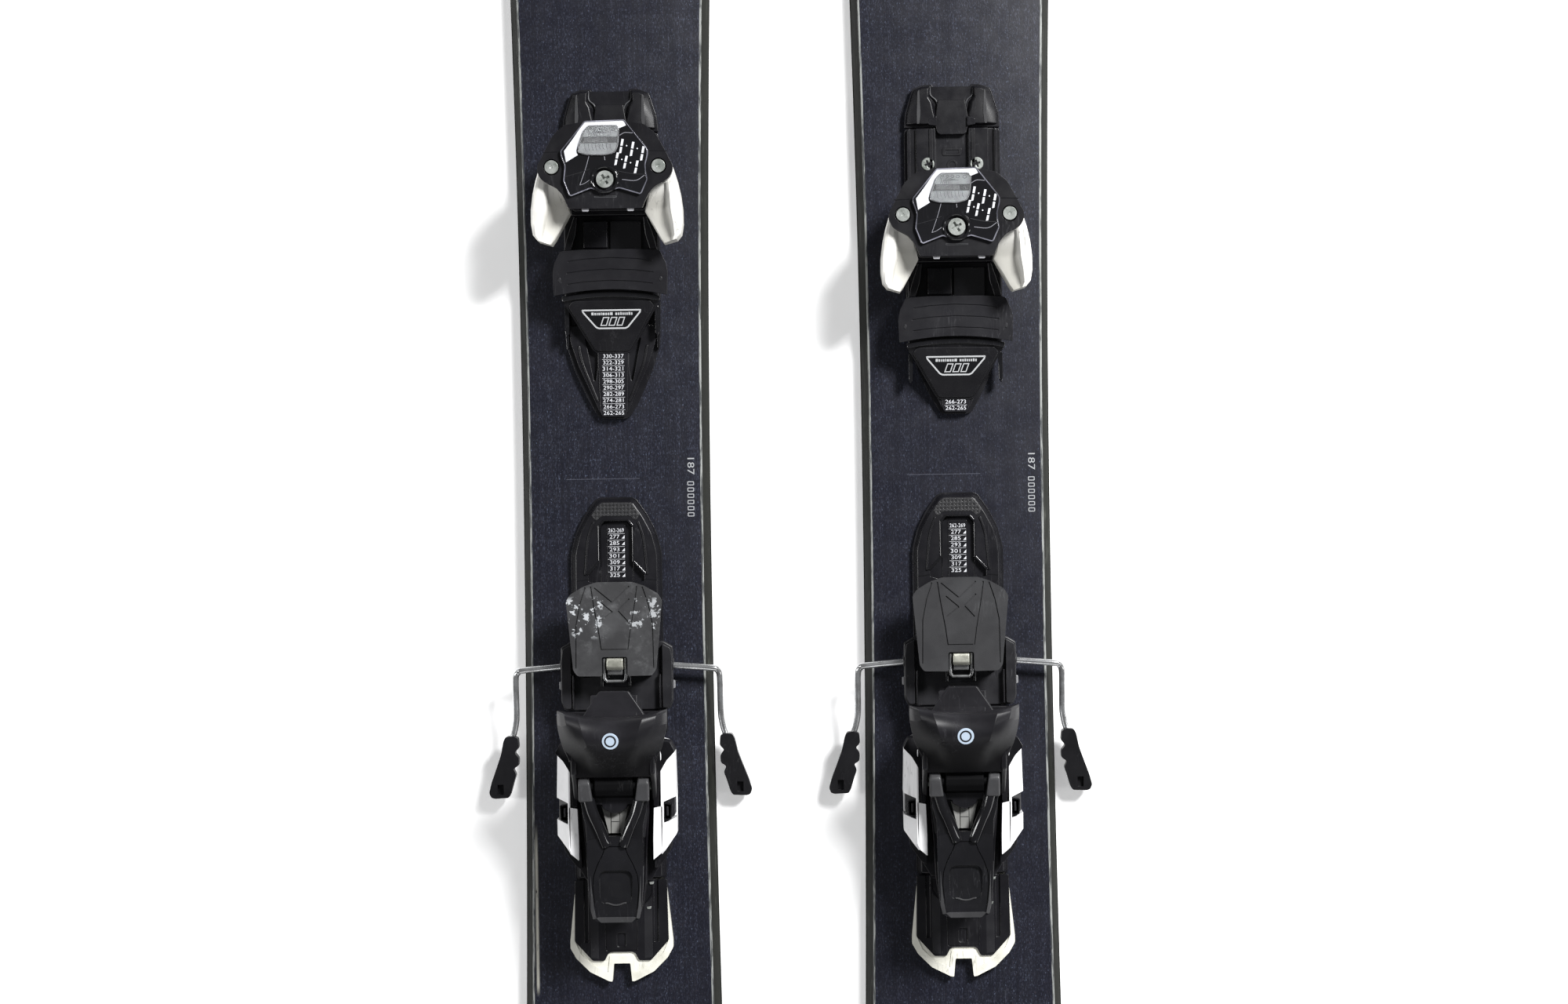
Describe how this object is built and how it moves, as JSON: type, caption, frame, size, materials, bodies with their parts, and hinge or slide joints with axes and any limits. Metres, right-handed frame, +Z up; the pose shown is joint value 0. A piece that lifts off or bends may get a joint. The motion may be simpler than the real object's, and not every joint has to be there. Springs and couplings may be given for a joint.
{
  "type": "alpine skis with bindings",
  "caption": "Pair of wide freeride skis with sliding-track alpine bindings: toe wings, boot pad, heel cup with lever, and fold-up ski brakes.",
  "frame": {"origin": "centre of the bounding box in plan, on the floor under the skis", "axes": "+Y towards the ski tips, +Z up, +X to the right ski"},
  "size_m": [0.3792, 1.8693, 0.099],
  "materials": {
    "topsheet": "satin dark navy topsheet with a fine woven look",
    "ski_base": "black sintered base",
    "edge_steel": "ground steel",
    "black_plastic": "moulded, fine texture",
    "gloss_black": "polished",
    "white_plastic": "moulded off-white",
    "zinc_steel": "zinc plated",
    "grey_plastic": "moulded dark grey, scuffed"
  },
  "bodies": {
    "left_ski": {"left_ski_core": "topsheet", "left_ski_base": "ski_base", "left_steel_edge": "edge_steel", "left_toe_track": "black_plastic", "left_toe_end_cap": "black_plastic", "left_heel_track": "black_plastic", "left_heel_end_cap": "white_plastic"},
    "left_toe_slider": {"left_toe_carriage": "black_plastic"},
    "left_toe_head": {"left_toe_housing": "black_plastic", "left_toe_cover": "gloss_black", "left_wing_pin_outer": "zinc_steel", "left_wing_pin_inner": "zinc_steel"},
    "left_toe_wing_outer": {"left_toe_wing_outer": "white_plastic"},
    "left_toe_wing_inner": {"left_toe_wing_inner": "white_plastic"},
    "left_toe_height_screw": {"left_toe_height_screw": "zinc_steel"},
    "left_toe_release_screw": {"left_toe_release_screw": "zinc_steel"},
    "left_boot_pad": {"left_boot_pad": "black_plastic"},
    "left_heel_slider": {"left_heel_carriage": "black_plastic", "left_heel_housing": "gloss_black", "left_heel_fairing_outer": "white_plastic", "left_heel_fairing_inner": "white_plastic", "left_heel_axle": "zinc_steel", "left_brake_plate": "black_plastic"},
    "left_heel_cup": {"left_heel_cup": "black_plastic"},
    "left_heel_lever": {"left_heel_lever": "gloss_black"},
    "left_brake_pad": {"left_brake_pad": "grey_plastic"},
    "left_brake_arm_outer": {"left_brake_arm_outer": "zinc_steel", "left_brake_foot_outer": "black_plastic"},
    "left_brake_arm_inner": {"left_brake_arm_inner": "zinc_steel", "left_brake_foot_inner": "black_plastic"},
    "right_ski": {"right_ski_core": "topsheet", "right_ski_base": "ski_base", "right_steel_edge": "edge_steel", "right_toe_track": "black_plastic", "right_toe_end_cap": "black_plastic", "right_heel_track": "black_plastic", "right_heel_end_cap": "white_plastic"},
    "right_toe_slider": {"right_toe_carriage": "black_plastic"},
    "right_toe_head": {"right_toe_housing": "black_plastic", "right_toe_cover": "gloss_black", "right_wing_pin_outer": "zinc_steel", "right_wing_pin_inner": "zinc_steel"},
    "right_toe_wing_outer": {"right_toe_wing_outer": "white_plastic"},
    "right_toe_wing_inner": {"right_toe_wing_inner": "white_plastic"},
    "right_toe_height_screw": {"right_toe_height_screw": "zinc_steel"},
    "right_toe_release_screw": {"right_toe_release_screw": "zinc_steel"},
    "right_boot_pad": {"right_boot_pad": "black_plastic"},
    "right_heel_slider": {"right_heel_carriage": "black_plastic", "right_heel_housing": "gloss_black", "right_heel_fairing_outer": "white_plastic", "right_heel_fairing_inner": "white_plastic", "right_heel_axle": "zinc_steel", "right_brake_plate": "black_plastic"},
    "right_heel_cup": {"right_heel_cup": "black_plastic"},
    "right_heel_lever": {"right_heel_lever": "gloss_black"},
    "right_brake_pad": {"right_brake_pad": "grey_plastic"},
    "right_brake_arm_outer": {"right_brake_arm_outer": "zinc_steel", "right_brake_foot_outer": "black_plastic"},
    "right_brake_arm_inner": {"right_brake_arm_inner": "zinc_steel", "right_brake_foot_inner": "black_plastic"}
  },
  "joints": [
    {"name": "left_toe_slide", "type": "slide", "parent": "left_ski", "child": "left_toe_slider", "axis": [0, 1, 0], "range_m": [-0.036, 0]},
    {"name": "left_toe_height", "type": "slide", "parent": "left_toe_slider", "child": "left_toe_head", "axis": [0, 0, 1], "range_m": [0, 0.005]},
    {"name": "left_toe_height_screw_turn", "type": "hinge", "parent": "left_toe_head", "child": "left_toe_height_screw", "pos_m": [-0.107, 0.112, 0.0553], "axis": [0, 0, 1], "range_deg": [0, 1445]},
    {"name": "left_toe_release_screw_turn", "type": "hinge", "parent": "left_toe_head", "child": "left_toe_release_screw", "pos_m": [-0.107, 0.142, 0.0553], "axis": [0, 1, 0], "continuous": true},
    {"name": "left_toe_wing_outer_swing", "type": "hinge", "parent": "left_toe_head", "child": "left_toe_wing_outer", "pos_m": [-0.1396, 0.12, 0.0553], "axis": [0, 0, -1], "range_deg": [0, 35], "stiffness_Nm_per_rad": 2},
    {"name": "left_toe_wing_inner_swing", "type": "hinge", "parent": "left_toe_head", "child": "left_toe_wing_inner", "pos_m": [-0.0744, 0.12, 0.0553], "axis": [0, 0, 1], "range_deg": [0, 35], "stiffness_Nm_per_rad": 2},
    {"name": "left_boot_pad_swing", "type": "hinge", "parent": "left_toe_slider", "child": "left_boot_pad", "pos_m": [-0.107, -0.118, 0.0373], "axis": [0, 0, 1], "range_deg": [-3.5, 3.5], "stiffness_Nm_per_rad": 0.5},
    {"name": "left_heel_slide", "type": "slide", "parent": "left_ski", "child": "left_heel_slider", "axis": [0, 1, 0], "range_m": [-0.015, 0.035]},
    {"name": "left_heel_cup_rock", "type": "hinge", "parent": "left_heel_slider", "child": "left_heel_cup", "pos_m": [-0.107, -0.26, 0.0473], "axis": [-1, 0, 0], "range_deg": [0, 24]},
    {"name": "left_heel_lever_lift", "type": "hinge", "parent": "left_heel_slider", "child": "left_heel_lever", "pos_m": [-0.107, -0.258, 0.0723], "axis": [-1, 0, 0], "range_deg": [0, 49]},
    {"name": "left_brake_pedal", "type": "hinge", "parent": "left_heel_slider", "child": "left_brake_pad", "pos_m": [-0.107, -0.188, 0.0343], "axis": [-1, 0, 0], "range_deg": [-15, 18]},
    {"name": "left_brake_arm_outer_turn", "type": "hinge", "parent": "left_heel_slider", "child": "left_brake_arm_outer", "pos_m": [-0.123, -0.18518, 0.0258], "axis": [-0.9962, -0.0872, 0], "range_deg": [-24.5, 29.5]},
    {"name": "left_brake_arm_inner_turn", "type": "hinge", "parent": "left_heel_slider", "child": "left_brake_arm_inner", "pos_m": [-0.091, -0.18518, 0.0258], "axis": [-0.9962, 0.0872, 0], "range_deg": [-24.5, 29.5]},
    {"name": "right_ski_apart", "type": "slide", "parent": "left_ski", "child": "right_ski", "axis": [1, 0, 0], "range_m": [0, 0.25]},
    {"name": "right_toe_slide", "type": "slide", "parent": "right_ski", "child": "right_toe_slider", "axis": [0, 1, 0], "range_m": [-0.004, 0.032]},
    {"name": "right_toe_height", "type": "slide", "parent": "right_toe_slider", "child": "right_toe_head", "axis": [0, 0, 1], "range_m": [0, 0.005]},
    {"name": "right_toe_height_screw_turn", "type": "hinge", "parent": "right_toe_head", "child": "right_toe_height_screw", "pos_m": [0.107, 0.08, 0.0553], "axis": [0, 0, 1], "range_deg": [0, 1445]},
    {"name": "right_toe_release_screw_turn", "type": "hinge", "parent": "right_toe_head", "child": "right_toe_release_screw", "pos_m": [0.107, 0.11, 0.0553], "axis": [0, 1, 0], "continuous": true},
    {"name": "right_toe_wing_inner_swing", "type": "hinge", "parent": "right_toe_head", "child": "right_toe_wing_inner", "pos_m": [0.0744, 0.088, 0.0553], "axis": [0, 0, -1], "range_deg": [0, 35], "stiffness_Nm_per_rad": 2},
    {"name": "right_toe_wing_outer_swing", "type": "hinge", "parent": "right_toe_head", "child": "right_toe_wing_outer", "pos_m": [0.1396, 0.088, 0.0553], "axis": [0, 0, 1], "range_deg": [0, 35], "stiffness_Nm_per_rad": 2},
    {"name": "right_boot_pad_swing", "type": "hinge", "parent": "right_toe_slider", "child": "right_boot_pad", "pos_m": [0.107, -0.15, 0.0373], "axis": [0, 0, 1], "range_deg": [-3.5, 3.5], "stiffness_Nm_per_rad": 0.5},
    {"name": "right_heel_slide", "type": "slide", "parent": "right_ski", "child": "right_heel_slider", "axis": [0, 1, 0], "range_m": [-0.015, 0.035]},
    {"name": "right_heel_cup_rock", "type": "hinge", "parent": "right_heel_slider", "child": "right_heel_cup", "pos_m": [0.107, -0.26, 0.0473], "axis": [-1, 0, 0], "range_deg": [0, 24]},
    {"name": "right_heel_lever_lift", "type": "hinge", "parent": "right_heel_slider", "child": "right_heel_lever", "pos_m": [0.107, -0.258, 0.0723], "axis": [-1, 0, 0], "range_deg": [0, 49]},
    {"name": "right_brake_pedal", "type": "hinge", "parent": "right_heel_slider", "child": "right_brake_pad", "pos_m": [0.107, -0.188, 0.0343], "axis": [-1, 0, 0], "range_deg": [-15, 18]},
    {"name": "right_brake_arm_inner_turn", "type": "hinge", "parent": "right_heel_slider", "child": "right_brake_arm_inner", "pos_m": [0.091, -0.18518, 0.0258], "axis": [-0.9962, -0.0872, 0], "range_deg": [-24.5, 29.5]},
    {"name": "right_brake_arm_outer_turn", "type": "hinge", "parent": "right_heel_slider", "child": "right_brake_arm_outer", "pos_m": [0.123, -0.18518, 0.0258], "axis": [-0.9962, 0.0872, 0], "range_deg": [-24.5, 29.5]}
  ],
  "couplings": [
    {"joint": "left_toe_height_screw_turn", "follows": "left_toe_height", "rad_per_m": 5026.5},
    {"joint": "left_heel_lever_lift", "follows": "left_heel_cup_rock", "ratio": 2},
    {"joint": "left_brake_arm_outer_turn", "follows": "left_brake_pedal", "ratio": 1.6},
    {"joint": "left_brake_arm_inner_turn", "follows": "left_brake_pedal", "ratio": 1.6},
    {"joint": "right_toe_height_screw_turn", "follows": "right_toe_height", "rad_per_m": 5026.5},
    {"joint": "right_heel_lever_lift", "follows": "right_heel_cup_rock", "ratio": 2},
    {"joint": "right_brake_arm_inner_turn", "follows": "right_brake_pedal", "ratio": 1.6},
    {"joint": "right_brake_arm_outer_turn", "follows": "right_brake_pedal", "ratio": 1.6}
  ]
}
